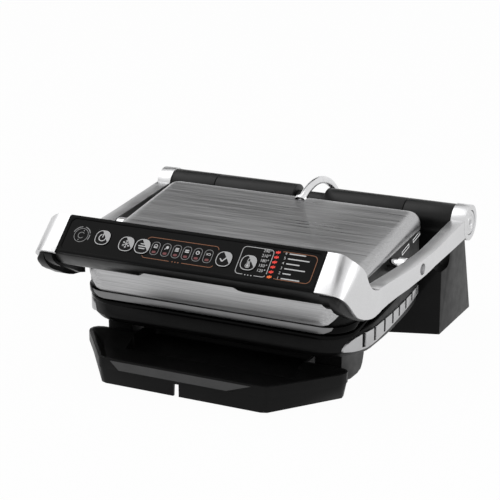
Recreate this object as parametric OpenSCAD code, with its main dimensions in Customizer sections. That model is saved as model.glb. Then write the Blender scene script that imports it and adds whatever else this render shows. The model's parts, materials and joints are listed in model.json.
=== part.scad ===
// Electric contact grill for a worktop: a ribbed lower plate in a black base,
// a steel-covered upper plate that floats in two arms, and a handle with keys.
// Millimetres. +X is the viewer's right, +Y runs from the handle to the hinge,
// +Z is up. The origin is on the floor, under the middle of the grill.

/* [Hinge] */
// Height of the hinge axis above the floor
hinge_z = 116.6; // [115:0.2:118]
// Distance of the hinge axis behind the middle
hinge_y = 106.5; // [105:0.5:108]
// Diameter of the bosses at the ends of the arms
boss_d = 36; // [34:0.5:38]
// Diameter of the black barrel between the bosses
barrel_d = 34; // [31:0.5:34]
// Diameter of the steel shaft
shaft_d = 10; // [8:0.5:12]

/* [Arms] */
// Distance from the middle to the outer face of an arm at the hinge
arm_x = 174.4; // [173:0.2:176]
// Thickness of an arm
arm_t = 14.5; // [12:0.5:15]
// Height of the lid's pivot in the arms
pivot_z = 104; // [103:0.2:105]
// Distance of the lid's pivot in front of the middle
pivot_y = -21; // [-22:0.2:-20]

/* [Control panel] */
// Width of the black panel frame
panel_w = 264; // [262:1:266]
// Height of the panel along its slope
panel_h = 40.8; // [40:0.2:41.6]
// Slope of the panel above level, in degrees
panel_tilt = 43.5; // [43:0.1:44]
// Travel of a key
key_travel = 0.8; // [0.6:0.1:1]
// Width of a key
key_w = 16; // [15:0.2:16.2]

/* [Lid and plates] */
// Width of the steel lid
lid_w = 282; // [278:1:284]
// Depth of the steel lid
lid_d = 194; // [190:1:195]
// Slope of the plates down towards the front, in degrees
cook_tilt = 5.4; // [5:0.1:5.6]
// Gap between the closed lid and the base
lid_gap = 2.8; // [2.8:0.1:3.2]
// Number of ribs on each plate
rib_n = 15; // [11:2:17]

/* [Base] */
// Width of the base over its side trims
base_w = 300; // [296:1:302]
// Height of the base's underside
base_z = 32; // [31:0.5:33]
// Width of the slots in the side trims
trim_slot_w = 4.6; // [3:0.1:5]

/* [Rear housing] */
// Width of the rear housing at the floor
rear_w = 305; // [301:1:307]
// Distance from the middle to the rear wall at the floor
rear_y = 183; // [181:0.5:184]

/* [Drip tray] */
// Height of the tray's rim
tray_h = 25.8; // [25:0.2:26.6]
// Wall thickness of the tray
tray_wall = 2.5; // [2:0.1:3]
// Distance from the middle to the front of the tray's grip lip
tray_front = 183; // [182:0.5:184]

/* [Hidden] */
$fn = 48;
hull_fn = 32;
eps = 0.01;
wall = 2.5;

// Hinge and arms
boss_r = boss_d / 2;
barrel_r = barrel_d / 2;
shaft_r = shaft_d / 2;
boss_w = 15;
boss_in_x = arm_x - boss_w;
knuckle_in_x = 107.3;
barrel_gap = 0.5;
recess_x = [-15, 19];
bush_r = shaft_r + 2.5;
run_fit = 0.05;
pin_head_x = 162;
pivot_r = 4;
collar_r = 8.5;

// Outer face of the right arm seen from above, as [y, x] points: straight at the
// hinge, drawing in towards the handle
arm_plan = [[-120, 161.4], [-110, 162.4], [-100, 163.7], [-90, 165], [-80, 166.4], [-70, 167.8],
            [-60, 169.1], [-50, 170.3], [-40, 171.4], [-30, 172.3], [-20, 173], [-10, 173.5], [0, 173.9], [15, 174.2], [108, 174.2]];
// Side profile of an arm as [y, z] points: the edge of the handle's corner that
// sweeps down from the panel, then the long top and bottom edges
corner_top = [[-150.2, 152.2], [-148.3, 150], [-147.4, 146.4], [-144.8, 143], [-141.6, 139.5],
              [-135.7, 134.5], [-131, 129.6], [-128, 124], [-124.8, 118.2], [-119.1, 112.6],
              [-112.9, 109], [-107.5, 107.4], [-102, 107.6], [-89, 108.8]];
corner_bottom = [[-90, 88.6], [-104, 85.2], [-113, 84], [-119, 84.2], [-125.7, 85.4], [-133.6, 87.6],
                 [-141.5, 90.8], [-147.5, 94.3], [-152.5, 98.7], [-157.4, 103.8], [-163.3, 109.3],
                 [-170.6, 115.1], [-175, 118.9], [-177.3, 121], [-178.6, 122.4], [-180.6, 124.6]];
beam_top = [[-104, 107.6], [-88, 108.8], [-60, 110.2], [-20, 112.4], [0, 113.4], [20, 115.2],
            [40, 117.3], [60, 119.2], [80, 121.3], [104, 123.2]];
beam_bottom = [[104, 104.5], [88, 103.5], [64, 101.9], [37, 100.6], [11, 99.2], [-11, 96.5], [-33, 94.8],
               [-50, 92.8], [-70, 91.2], [-87, 88.9], [-104, 85.5]];
skin_t = 4;
corner_r = [7, 27.5];
corner_v = [-62, 68];
corner_x = 159.4;
corner_lean = 0.07;

// Control panel
panel_y = -162.7;
panel_z = 136.75;
frame_border = 3.6;
frame_proud = 0.8;
window_t = 2;
board_n = -9.2;
board_t = 1.6;
key_r = 6;
key_proud = 0.7;
key_flange = 1.3;
key_gap = 0.2;
key_u = [-89.5, -63, -46, 38, 62.5];
key_v = [0.8, -2, -2, -2.4, -2.4];
led_u = [for (i = [0:5]) -32.9 + 10.88 * i];
led_v = -1.7;
led_size = [8, 13];
bar_u = 86.7;
bar_v = [for (i = [0:5]) 12.4 - 5.05 * i];

// Cooking assembly: its frame lies in the parting plane, with its origin at the front
cook_y = -124;
cook_z = 67;
lid_half = lid_w / 2;
lid_front_r = 28;
lid_rear_r = 14;
front_edge_r = 4.5;
rear_edge_r = 12;
side_edge_z = 35.5;
front_edge_z = 4;
rim_low = -3;
base_top = -5.8;
side_top = -lid_gap / 2;
base_rim_t = 4;
lid_front_top = 38.9;
lid_rear_top = 51.9;
sheet_t = 1.2;
plate_half = 128;
plate_y = [14, 176];
rib_w = 4;
rib_h = 4;
upper_face = 2 + lid_gap / 2;
lower_face = -2 - lid_gap / 2;
pivot_from_front = [pivot_y - cook_y, pivot_z - cook_z];

// Base and rear housing
base_half = base_w / 2;
trim_z = [44, 62];
trim_t = 2;
band_y = -131.7;
band_z = 53.7;
band_r = 11.9;
// Slots of a side trim, as [y, height of the lower end]
trim_slots = [[-93.9, 46.4], [-78, 48.6], [-55, 49.7], [-33.4, 50.9],
              [-14.5, 52], [7, 52.6], [29.5, 53.3], [51.4, 54]];
leg_x = 107;
leg_y = -68;
foot_h = 5.4;
skirt_z = 0.8;
cover_z = 2.6;
rear_half = rear_w / 2;
gland_x = -105;
conduit_x = 13;
conduit_r = 4;
conduit_mid = [90, 78];
conduit_bend_r = 66;
conduit_angle = [22, 127];
release_r = 6;

// Drip tray
tray_foot_z = 0.4;
tray_floor_z = 13;
tray_step_z = 15.6;
tray_step_y = -126;
// Right half of the raised floor, from its front corner to the foot of the rear slope
tray_floor = [[75, -171.3], [82.4, -169], [113.3, -127]];
tray_band_z = 15.8;
tray_rim_y = 178.6;
tray_front_half = 90;
tray_side_half = 137;
tray_tail_half = 92;

// ---- helpers ----------------------------------------------------------------

module cook_frame() {
    translate([0, cook_y, cook_z]) rotate([cook_tilt, 0, 0]) children();
}

module panel_frame_at() {
    translate([0, panel_y, panel_z]) rotate([panel_tilt, 0, 0]) children();
}

// Extrudes a [y, z] outline along X from x0 to x1
module along_x(x0, x1) {
    translate([x0, 0, 0]) rotate([90, 0, 90]) linear_extrude(x1 - x0) children();
}

module rod_x(r, x0, x1, y = 0, z = 0, fn = 48) {
    translate([x0, y, z]) rotate([0, 90, 0]) cylinder(r = r, h = x1 - x0, $fn = fn);
}

module both_sides() {
    children();
    mirror([1, 0, 0]) children();
}

// Points of a rectangle with rounded corners
function rounded(x0, y0, x1, y1, r, step = 15) = concat(
    [for (a = [180:step:270]) [x0 + r + r * cos(a), y0 + r + r * sin(a)]],
    [for (a = [270:step:360]) [x1 - r + r * cos(a), y0 + r + r * sin(a)]],
    [for (a = [0:step:90]) [x1 - r + r * cos(a), y1 - r + r * sin(a)]],
    [for (a = [90:step:180]) [x0 + r + r * cos(a), y1 - r + r * sin(a)]]);

module plate_of(x0, y0, x1, y1, r, z0, z1) {
    translate([0, 0, z0]) linear_extrude(z1 - z0) polygon(rounded(x0, y0, x1, y1, r));
}

// Adds the mirror image of the right half of an outline
function whole(half) = concat(half, [for (k = [len(half) - 1:-1:0]) [-half[k][0], half[k][1]]]);

// Plan of the base, inset by i: round front corners, sides that draw in to the rear
base_corner_r = 50;
base_front_y = -124;
function base_half_plan(i) = concat(
    [for (a = [-90:10:0]) [base_half - base_corner_r + (base_corner_r - i) * cos(a),
                           base_front_y + base_corner_r + (base_corner_r - i) * sin(a)]],
    [for (t = [0.1:0.1:1]) [base_half - i - 10 * t * t, -66 + 122 * t]],
    [[base_half - 13 - i, 64 - i], [base_half - 24 - i, 68 - i]]);

module base_slice(i, z0, z1) {
    translate([0, 0, z0]) linear_extrude(z1 - z0) polygon(whole(base_half_plan(i)));
}

module below_parting(drop) {
    cook_frame() translate([-200, -60, -200 - drop]) cube([400, 300, 200]);
}

// Everything under a line that runs at height front below the lid's front face,
// and rises to height side round the front corners
module under_line(front, side) {
    rise = side - front;
    cook_frame() along_x(-200, 200) polygon([[-60, -200], [300, -200], [300, side], [39, side],
        [31, side - 0.2 * rise], [24, side - 0.57 * rise], [19, front], [-60, front]]);
}

// ---- base -------------------------------------------------------------------

module base_bowl(i) {
    hull() {
        base_slice(22 + i, base_z + i, base_z + i + 0.5);
        base_slice(6.5 + i, base_z + 6.6 + i, base_z + 7 + i);
        base_slice(trim_t + i, trim_z[0], trim_z[0] + 0.5);
        base_slice(trim_t + i, trim_z[1] - 0.5, trim_z[1]);
    }
}

module base_shell() {
    color([0.06, 0.06, 0.065]) difference() {
        union() {
            intersection() {
                union() {
                    base_bowl(0);
                    base_slice(1, trim_z[1] - eps, 92);
                }
                under_line(base_top - base_rim_t, side_top - base_rim_t);
            }
            both_sides() along_x(98, 125) polygon([[-98, 42], [-98, 15], [-94, 10], [-87, 7.4], [-76, foot_h],
                [-60, foot_h], [-52, 7.4], [-48, 12], [-45, 20], [-43.5, 30], [-43, 42]]);
        }
        difference() {
            union() {
                base_bowl(wall);
                intersection() {
                    base_slice(1 + wall, trim_z[1] - 2 * eps, 100);
                    below_parting(-20);
                }
            }
            both_sides() translate([leg_x, leg_y, base_z]) cylinder(r = 4.5, h = 16);
            lower_plate_posts();
            rod_x(band_r + wall, -118, 118, band_y, band_z);
        }
        // concave band across the front
        rod_x(band_r, -115, 115, band_y, band_z);
        // drain slot over the tray
        translate([-30, -98, base_z - 5]) cube([60, 8, 15]);
        both_sides() translate([leg_x, leg_y, -eps]) cylinder(r = 1.6, h = base_z + 8);
        lower_release_hole();
    }
}

// Posts that carry the lower reflector and plate
module lower_plate_posts() {
    both_sides() for (y = [-60, 30])
        intersection() {
            translate([104, y, base_z]) cylinder(r = 5, h = 60);
            below_parting(26);
        }
}

rim_plan = whole(concat(
    [for (a = [-90:10:0]) [lid_half + 3 - 36 + 36 * cos(a), 36 + 36 * sin(a)]],
    [[lid_half + 2, 80], [lid_half - 2, 150], [lid_half - 6, 176], [lid_half - 12, 187], [lid_half - 20, 190]]));

module base_rim() {
    color([0.03, 0.03, 0.035]) difference() {
        intersection() {
            cook_frame() translate([0, 0, base_top - base_rim_t])
                linear_extrude(side_top - base_top + base_rim_t) polygon(rim_plan);
            under_line(base_top, side_top);
        }
        under_line(base_top - base_rim_t, side_top - base_rim_t);
        cook_frame() plate_of(-plate_half - 3, plate_y[0] - 3, plate_half + 3, plate_y[1] + 3, 12, -20, 0);
    }
}

// Grey blocks with a slot between each two, joined along their lower edge
module side_trim() {
    difference() {
        intersection() {
            difference() {
                base_bowl(-trim_t);
                base_bowl(-0.05);
            }
            along_x(100, base_half + 1)
                polygon([[-111.4, 44.6], [-104, 43.9], [-92, 44.6], [-80, 46.5], [-56, 48], [-34, 49.3],
                         [-14, 50.4], [8, 51.1], [28, 51.6], [50, 52.2], [60, 53.6], [61, 57],
                         [59.5, 60.4], [42, 61.2], [0, 61.6], [-57, 61.6], [-78, 61.2], [-93.9, 59.7],
                         [-97.2, 59], [-102.2, 57.2], [-106.5, 54.7], [-109.4, 51], [-111, 47]]);
        }
        for (slot = trim_slots)
            translate([90, slot[0] - trim_slot_w / 2, slot[1]]) cube([80, trim_slot_w, 20]);
    }
}

module side_trim_right() { color([0.55, 0.55, 0.56]) side_trim(); }
module side_trim_left() { color([0.55, 0.55, 0.56]) mirror([1, 0, 0]) side_trim(); }

// ---- rear housing -----------------------------------------------------------

// Outline of the housing from the side, drawn in by i
function rear_side(i) = [[71 + i, skirt_z], [71 + i, 62 - i], [84 + i, 64 - i], [91 + i, 80],
    [94 + i, 96 - i], [142 - i, 101 - i], [150 - i, 101 - i], [153 - i, 98 - i], [159 - i, 80], [rear_y - i, skirt_z]];

module rear_block(i) {
    intersection() {
        along_x(-rear_half + i, rear_half - i) polygon(rear_side(i));
        linear_extrude(120) polygon(whole(
            [[86, 71 + i], [104 - i, 71 + i], [rear_half - i, 87 + i], [rear_half - 2 - i, 190]]));
    }
}

// Rounded hollow round the outer front corner, under each hinge tower
hollow_r = 10;
module tower_hollow(r) {
    translate([rear_half - 1, 0, 77]) {
        translate([0, 60, 0]) rotate([-90, 0, 0]) cylinder(r = r, h = 42);
        translate([0, 102, 0]) sphere(r = r);
    }
}

module rear_housing() {
    color([0.05, 0.05, 0.055]) difference() {
        union() {
            rear_block(0);
            // tower under each hinge knuckle
            both_sides() along_x(knuckle_in_x, rear_half - 0.8)
                polygon([[93, 88], [93, 106], [98, 112], [116, 112], [146, 101], [146, 88]]);
        }
        difference() {
            translate([0, 0, -eps]) rear_block(wall);
            bottom_screws_at() translate([0, 0, cover_z + 1.5]) cylinder(r = 5, h = 100);
            both_sides() tower_hollow(hollow_r + wall);
        }
        // clearance round the hinge barrel
        rod_x(barrel_r + 1.2, -knuckle_in_x, knuckle_in_x, hinge_y, hinge_z);
        both_sides() rod_x(barrel_r, knuckle_in_x - 1, rear_half + 1, hinge_y, hinge_z);
        both_sides() tower_hollow(hollow_r);
        // way through for the conduit and for the cord
        translate([conduit_x, 0, 0]) conduit_line(conduit_r + 0.4);
        translate([gland_x, rear_y - 40, 24]) rotate([-90, 0, 0]) cylinder(r = 7.5, h = 60);
        rear_cover_screw_at() cylinder(r = 1.6, h = 20);
        // opening behind the rear cover
        rear_cover_at() translate([-62, 12, -10]) cube([124, 44, 20]);
        bottom_screws_at() translate([0, 0, -1]) cylinder(r = 1.6, h = 24);
    }
}

rear_slope = atan2(rear_y - 159, 80 - skirt_z);
module rear_cover_at() {
    translate([0, rear_y, skirt_z]) rotate([90 - rear_slope, 0, 180]) children();
}

module rear_cover_screw_at() {
    rear_cover_at() for (x = [-64, 64], y = [18, 50]) translate([x, y, -16]) children();
}

// Service panel on the sloping rear wall
module rear_cover() {
    color([0.08, 0.08, 0.085]) rear_cover_at() difference() {
        plate_of(-70, 8, 70, 60, 6, 0.05, 2.05);
        for (x = [-64, 64], y = [18, 50]) translate([x, y, -1]) cylinder(r = 1.8, h = 5);
        for (i = [-4:4]) translate([i * 9 - 1.5, 24, -1]) cube([3, 20, 5]);
    }
}

module bottom_screws_at() {
    for (x = [-rear_half + 20, rear_half - 20]) translate([x, 150, 0]) children();
    for (x = [-rear_half + 30, rear_half - 30]) translate([x, 98, 0]) children();
}

module bottom_cover() {
    color([0.1, 0.1, 0.1]) difference() {
        intersection() {
            translate([-200, 0, cover_z]) cube([400, 200, 1.5]);
            linear_extrude(20) polygon(whole(
                [[86, 73.7], [100.5, 73.7], [rear_half - 2.9, 90], [rear_half - 4.8, rear_y - 4]]));
        }
        bottom_screws_at() cylinder(r = 1.8, h = 10);
    }
}

module cover_screws() {
    color([0.7, 0.7, 0.72]) {
        bottom_screws_at() translate([0, 0, cover_z - 1.3]) {
            cylinder(r = 3, h = 1.3);
            cylinder(r = 1.55, h = 16);
        }
        rear_cover_screw_at() translate([0, 0, 6]) {
            cylinder(r = 1.5, h = 12.1);
            translate([0, 0, 12.05]) cylinder(r = 3, h = 1.2);
        }
    }
}

module rubber_feet() {
    color([0.04, 0.04, 0.04]) {
        both_sides() translate([leg_x, leg_y, 0]) difference() {
            cylinder(r = 8, h = foot_h);
            translate([0, 0, -1]) cylinder(r = 3, h = 3);
        }
        both_sides() translate([rear_half - 28, 122, 0]) cylinder(r = 9, h = cover_z);
        both_sides() translate([rear_half - 28, 168, 0]) cylinder(r = 7, h = cover_z);
    }
}

// Inlet for the mains lead: a flanged bush in the rear wall
module cord_gland() {
    color([0.05, 0.05, 0.05]) translate([gland_x, rear_y - 14, 24]) rotate([-90, 0, 0]) difference() {
        union() {
            cylinder(r = 7.4, h = 10);
            translate([0, 0, 10.2]) cylinder(r = 9, h = 2.5);
        }
        translate([0, 0, -1]) cylinder(r = 3.6, h = 20);
    }
}

module power_board() {
    color([0.1, 0.35, 0.15]) {
        translate([-80, 100, 30]) cube([160, 50, 1.6]);
        for (x = [-76, 76], y = [104, 144]) translate([x, y, cover_z + 1.5]) cylinder(r = 3, h = 26);
        translate([20, 108, 31]) cube([28, 24, 20]);
        translate([-20, 110, 31]) cube([19, 15, 16]);
        translate([-44, 110, 31]) cube([19, 15, 16]);
        for (i = [0:2]) translate([-10 + 14 * i, 138, 31]) cylinder(r = 5, h = 14);
    }
}

// ---- hinge ------------------------------------------------------------------

// Fixed end of the barrel, seated on the tower
module hinge_knuckle() {
    difference() {
        rod_x(barrel_r, knuckle_in_x, boss_in_x - barrel_gap, hinge_y, hinge_z, 64);
        rod_x(bush_r, knuckle_in_x - 1, boss_in_x, hinge_y, hinge_z);
    }
}

module hinge_bush() {
    difference() {
        rod_x(bush_r, knuckle_in_x, boss_in_x - barrel_gap, hinge_y, hinge_z);
        rod_x(shaft_r + run_fit, knuckle_in_x - 1, boss_in_x, hinge_y, hinge_z);
    }
}

module hinge_knuckle_right() { color([0.07, 0.07, 0.075]) hinge_knuckle(); }
module hinge_knuckle_left() { color([0.07, 0.07, 0.075]) mirror([1, 0, 0]) hinge_knuckle(); }
module hinge_bush_right() { color([0.72, 0.5, 0.25]) hinge_bush(); }
module hinge_bush_left() { color([0.72, 0.5, 0.25]) mirror([1, 0, 0]) hinge_bush(); }

module hinge_shaft() {
    color([0.75, 0.75, 0.77]) rod_x(shaft_r, -arm_x + 4, arm_x - 4, hinge_y, hinge_z);
}

module shaft_cover(x0, x1) {
    color([0.07, 0.07, 0.075]) difference() {
        rod_x(barrel_r, x0, x1, hinge_y, hinge_z, 64);
        rod_x(shaft_r, x0 - 1, x1 + 1, hinge_y, hinge_z);
    }
}

module shaft_cover_left() { shaft_cover(-knuckle_in_x + barrel_gap, recess_x[0]); }
module shaft_cover_right() { shaft_cover(recess_x[1], knuckle_in_x - barrel_gap); }

// Narrow neck of the barrel that the conduit crosses
module shaft_saddle() {
    color([0.05, 0.05, 0.055]) difference() {
        rod_x(barrel_r - 6, recess_x[0], recess_x[1], hinge_y, hinge_z);
        rod_x(shaft_r, recess_x[0] - 1, recess_x[1] + 1, hinge_y, hinge_z);
    }
}

// ---- arms -------------------------------------------------------------------

// Plan region between the outer face of an arm drawn in by i0 and by i1
module arm_band(i0, i1) {
    linear_extrude(200) polygon(concat(
        [for (p = arm_plan) [p[1] - i0, p[0]]],
        [for (k = [len(arm_plan) - 1:-1:0]) [arm_plan[k][1] - i1, arm_plan[k][0]]]));
}

// Section of the handle's outer skin across the panel, as [u, n] points, with its
// upper corner rounded by r, and inset by i
function corner_section(i, r) = concat(
    [[116, frame_proud - i]],
    [for (a = [90:-6:0]) [corner_x - r + (r - i) * cos(a), frame_proud - r + (r - i) * sin(a)]],
    [[corner_x - i, -90], [116, -90]]);

// That section at v along the panel's slope. It leans outwards to the rear, so that
// its side stays upright and runs on into the arm
module corner_slice(i, v, r) {
    translate([0, v, 0]) rotate([90, 0, 0]) linear_extrude(0.02)
        polygon([for (p = corner_section(i, r))
            [p[0] + corner_lean * (cos(panel_tilt) * v - sin(panel_tilt) * p[1]), p[1]]]);
}

// The skin's round corner widens from the front to the rear
module corner_body(i) {
    panel_frame_at() hull() {
        corner_slice(i, corner_v[0], corner_r[0]);
        corner_slice(i, corner_v[1], corner_r[1]);
    }
}

module corner_side_view() {
    polygon(concat(corner_top, corner_bottom));
}

module arm() {
    difference() {
        union() {
            // skin of the handle's corner
            intersection() {
                difference() {
                    corner_body(0);
                    corner_body(skin_t);
                }
                along_x(132.4, 170) corner_side_view();
            }
            // long beam
            intersection() {
                along_x(140, 176) polygon(concat(beam_top, beam_bottom));
                arm_band(0, arm_t);
            }
            rod_x(boss_r, boss_in_x, arm_x, hinge_y, hinge_z, 72);
        }
        rod_x(shaft_r, boss_in_x - 2, arm_x - 3.9, hinge_y, hinge_z);
        // round groove and seat of the boss cap
        rod_x(12.6, arm_x - 2, arm_x + 1, hinge_y, hinge_z);
        // pivot hole with its screw recess
        rod_x(pivot_r, 140, 180, pivot_y, pivot_z);
        rod_x(5.6, pin_head_x, 180, pivot_y, pivot_z);
        // the beam stays inside the boss's inner face
        rod_x(boss_r + 3, boss_in_x - 30, boss_in_x, hinge_y, hinge_z);
    }
}

module arm_right() { color([0.78, 0.78, 0.79]) arm(); }
module arm_left() { color([0.78, 0.78, 0.79]) mirror([1, 0, 0]) arm(); }

module boss_cap() {
    difference() {
        rod_x(12.2, arm_x - 2, arm_x - 0.2, hinge_y, hinge_z);
        rod_x(2.2, arm_x - 1.4, arm_x + 1, hinge_y, hinge_z, 6);
    }
}

module boss_cap_right() { color([0.72, 0.72, 0.73]) boss_cap(); }
module boss_cap_left() { color([0.72, 0.72, 0.73]) mirror([1, 0, 0]) boss_cap(); }

module pivot_pin() {
    union() {
        rod_x(pivot_r, 133, pin_head_x, pivot_y, pivot_z);
        rod_x(5.4, pin_head_x, pin_head_x + 3, pivot_y, pivot_z);
    }
}

module pivot_pin_right() { color([0.3, 0.3, 0.32]) pivot_pin(); }
module pivot_pin_left() { color([0.3, 0.3, 0.32]) mirror([1, 0, 0]) pivot_pin(); }

// Black lining under the silver corner, from the panel to the arm
liner_top = [[-123, 113], [-128, 121], [-134, 129.5], [-141, 136], [-147, 140]];
module arm_liner() {
    intersection() {
        corner_body(skin_t + 0.1);
        union() {
            along_x(137, 146.05) polygon(concat([[-177, 118.6], [-174.5, 112.8], [-169, 107.6],
                [-161.5, 103], [-152, 99.4], [-144, 95.8], [-136, 91.6], [-128, 87.4], [-119, 85],
                [-119, 108]], liner_top));
            along_x(146, 160) polygon(concat([[-177.2, 119], [-176.3, 113.5], [-172.7, 108.1],
                [-166.5, 102], [-159, 97.6], [-151.1, 94], [-142, 89.2], [-134, 86], [-126, 83.6],
                [-115, 82.2], [-105, 82.2], [-105, 101], [-112, 105.5], [-118, 108.5]], liner_top));
        }
    }
}

module arm_liner_right() { color([0.05, 0.05, 0.055]) arm_liner(); }
module arm_liner_left() { color([0.05, 0.05, 0.055]) mirror([1, 0, 0]) arm_liner(); }

// ---- handle -----------------------------------------------------------------

module handle_shell() {
    handle_half = 136.8;
    color([0.05, 0.05, 0.055]) difference() {
        along_x(-handle_half, handle_half)
            polygon([[-176.2, 121.4], [-171, 114.5], [-164, 107.6], [-158, 104.6], [-150, 104], [-142, 107],
                     [-137, 114], [-136.4, 132], [-139, 141], [-147.4, 149.4]]);
        // room above the board for the window, keys and frame
        panel_frame_at() translate([-200, -60, -3.2]) cube([400, 120, 40]);
        panel_frame_at() translate([-126, -14.8, board_n - 6]) cube([252, 29.6, 20]);
        // finger scoop under the front edge
        scoop_top = 110.6;
        translate([0, -143, 0]) rotate([90, 0, 0]) linear_extrude(60)
            polygon([[-58, 90], [-54, 104], [-48, scoop_top], [48, scoop_top], [54, 104], [58, 90]]);
    }
}

module panel_frame() {
    half_w = panel_w / 2;
    half_h = panel_h / 2;
    color([0.12, 0.12, 0.125]) panel_frame_at() difference() {
        plate_of(-half_w, -half_h, half_w, half_h, 1.5, -3.1, frame_proud);
        plate_of(-half_w + frame_border, -half_h + frame_border, half_w - frame_border,
                 half_h - frame_border, 5, -4, 2);
    }
}

module key_outline(grow) {
    polygon(rounded(-key_w / 2 - grow, -key_w / 2 - grow, key_w / 2 + grow, key_w / 2 + grow, key_r + grow));
}

module panel_window() {
    half_w = panel_w / 2 - frame_border - 0.05;
    half_h = panel_h / 2 - frame_border - 0.05;
    color([0.02, 0.02, 0.022]) panel_frame_at() difference() {
        plate_of(-half_w, -half_h, half_w, half_h, 5, -window_t, 0);
        for (i = [0:4]) translate([key_u[i], key_v[i], -3])
            linear_extrude(4) key_outline(key_gap);
    }
}

// A key: cap through the window, and a flange above and below that keeps it in
module panel_key(i) {
    flange_top = -window_t - key_gap;
    color([0.03, 0.03, 0.03]) panel_frame_at() translate([key_u[i], key_v[i], 0]) {
        translate([0, 0, flange_top - eps]) linear_extrude(key_proud - flange_top + eps) key_outline(0);
        plate_of(-key_w / 2, -key_w / 2 - key_flange, key_w / 2, key_w / 2 + key_flange,
                 key_r, flange_top - 1.5, flange_top);
    }
}

module power_key() { panel_key(0); }
module frozen_key() { panel_key(1); }
module program_key() { panel_key(2); }
module confirm_key() { panel_key(3); }
module temperature_key() { panel_key(4); }

module control_board() {
    board_top = board_n + board_t;
    led_h = -window_t - 0.4 - board_top;
    color([0.1, 0.35, 0.15]) panel_frame_at() {
        translate([-124, -14, board_n]) cube([248, 28, board_t]);
        for (u = led_u) translate([u - 2, led_v - 2, board_top - eps]) cube([4, 4, led_h]);
        for (v = bar_v) translate([bar_u - 2, v - 1.2, board_top - eps]) cube([4, 2.4, led_h]);
        translate([100, -8, board_top - eps]) cube([12, 12, 2]);
        for (u = [-120, 0, 120]) translate([u, 0, board_n - 4]) cylinder(r = 3, h = 4 + eps);
    }
}

// Push switches on the board, one under each key
module key_switches() {
    board_top = board_n + board_t;
    switch_top = -window_t - key_gap - 1.5 - key_travel - 0.1;
    color([0.6, 0.6, 0.6]) panel_frame_at() for (i = [0:4])
        translate([key_u[i], key_v[i], board_top]) {
            translate([-3, -3, 0]) cube([6, 6, 1.6]);
            cylinder(r = 1.7, h = switch_top - board_top);
        }
}

// ---- conduit ----------------------------------------------------------------

// Centre line of the conduit in the plane X = 0: an arc over the barrel, and a
// straight run down into the rear housing
module conduit_line(r) {
    a0 = conduit_angle[0];
    a1 = conduit_angle[1];
    translate([0, conduit_mid[0], conduit_mid[1]]) rotate([90, 0, 90]) {
        rotate([0, 0, a0]) rotate_extrude(angle = a1 - a0, $fn = 96)
            translate([conduit_bend_r, 0]) circle(r = r, $fn = 32);
        rotate([0, 0, a0]) translate([conduit_bend_r, eps, 0]) rotate([90, 0, 0])
            cylinder(r = r, h = 22, $fn = 32);
    }
}

module conduit() {
    color([0.7, 0.7, 0.72]) translate([conduit_x, 0, 0]) conduit_line(conduit_r);
}

// ---- lid --------------------------------------------------------------------

// Solid outline of the lid from the parting plane up, drawn in by i
module lid_form(i) {
    hull() {
        translate([0, 0, 0.5]) linear_extrude(0.5) polygon(lid_plan(i));
        for (sx = [-1, 1]) {
            translate([sx * (lid_half - lid_front_r), lid_front_r, lid_front_top - front_edge_r])
                corner_ring(lid_front_r - front_edge_r, max(front_edge_r - i, 0.5));
            translate([sx * (lid_half - lid_rear_r), lid_d - lid_rear_r, lid_rear_top - rear_edge_r])
                corner_ring(lid_rear_r - rear_edge_r, rear_edge_r - i);
        }
    }
}

// Plan of the lid, drawn in by i: wide round corners in front, tight ones behind
function lid_plan(i) = whole(concat(
    [for (a = [-90:10:0]) [lid_half - lid_front_r + (lid_front_r - i) * cos(a),
                           lid_front_r + (lid_front_r - i) * sin(a)]],
    [for (a = [0:15:90]) [lid_half - lid_rear_r + (lid_rear_r - i) * cos(a),
                          lid_d - lid_rear_r + (lid_rear_r - i) * sin(a)]]));

// Rounded disc that shapes an upper corner of the lid
module corner_ring(rc, r) {
    rotate_extrude($fn = hull_fn) intersection() {
        translate([rc, 0]) circle(r = r, $fn = hull_fn);
        translate([0, -r]) square([rc + r, 2 * r]);
    }
}

module lid_cover() {
    color([0.8, 0.8, 0.81]) difference() {
        cook_frame() difference() {
            lid_form(0);
            lid_form(sheet_t);
            // lower edge: low in front with rounded ends, high along the sides and behind
            translate([0, 60, 0]) rotate([90, 0, 0]) linear_extrude(100) polygon(whole(
                [[115, front_edge_z], [122, 6], [127, 10.5], [130.5, 14.5], [133, 19], [134, 25],
                 [134, side_edge_z], [200, side_edge_z], [200, -20], [115, -20]]));
            translate([-200, 59, -20]) cube([400, 200, 20 + side_edge_z]);
        }
        translate([conduit_x, 0, 0]) conduit_line(conduit_r + 3.1);
    }
}

module lid_skirt() {
    low_z = lid_gap / 2 + 2;
    color([0.05, 0.05, 0.055]) difference() {
        cook_frame() difference() {
            intersection() {
                lid_form(sheet_t + 0.1);
                translate([-200, -10, low_z]) cube([400, 240, side_edge_z - 1 - low_z]);
            }
            translate([0, 0, -5]) linear_extrude(80) polygon(lid_plan(sheet_t + 3));
            // seats of the bright slots on each side
            for (k = [0, 1], x = [lid_half - 6, -lid_half + 0.9])
                translate([x, vent_y[k], vent_z[k]]) rotate([vent_slope, 0, 0])
                    cube([5.1, vent_l, vent_h]);
        }
        both_sides() rod_x(collar_r - 2, 130, 150, pivot_y, pivot_z);
        cook_frame() translate([0, 60, 18]) rotate([0, 90, 0]) cylinder(r = release_r + 0.3, h = 200);
    }
}

module lid_rim() {
    color([0.03, 0.03, 0.035]) difference() {
        cook_frame() difference() {
            translate([0, 0, rim_low]) linear_extrude(lid_gap / 2 + 2 - rim_low) polygon(lid_plan(-0.6));
            plate_of(-plate_half - 3, plate_y[0] - 3, plate_half + 3, plate_y[1] + 3, 12, rim_low - 1, 9);
        }
        under_line(rim_low, lid_gap / 2);
    }
}

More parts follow.
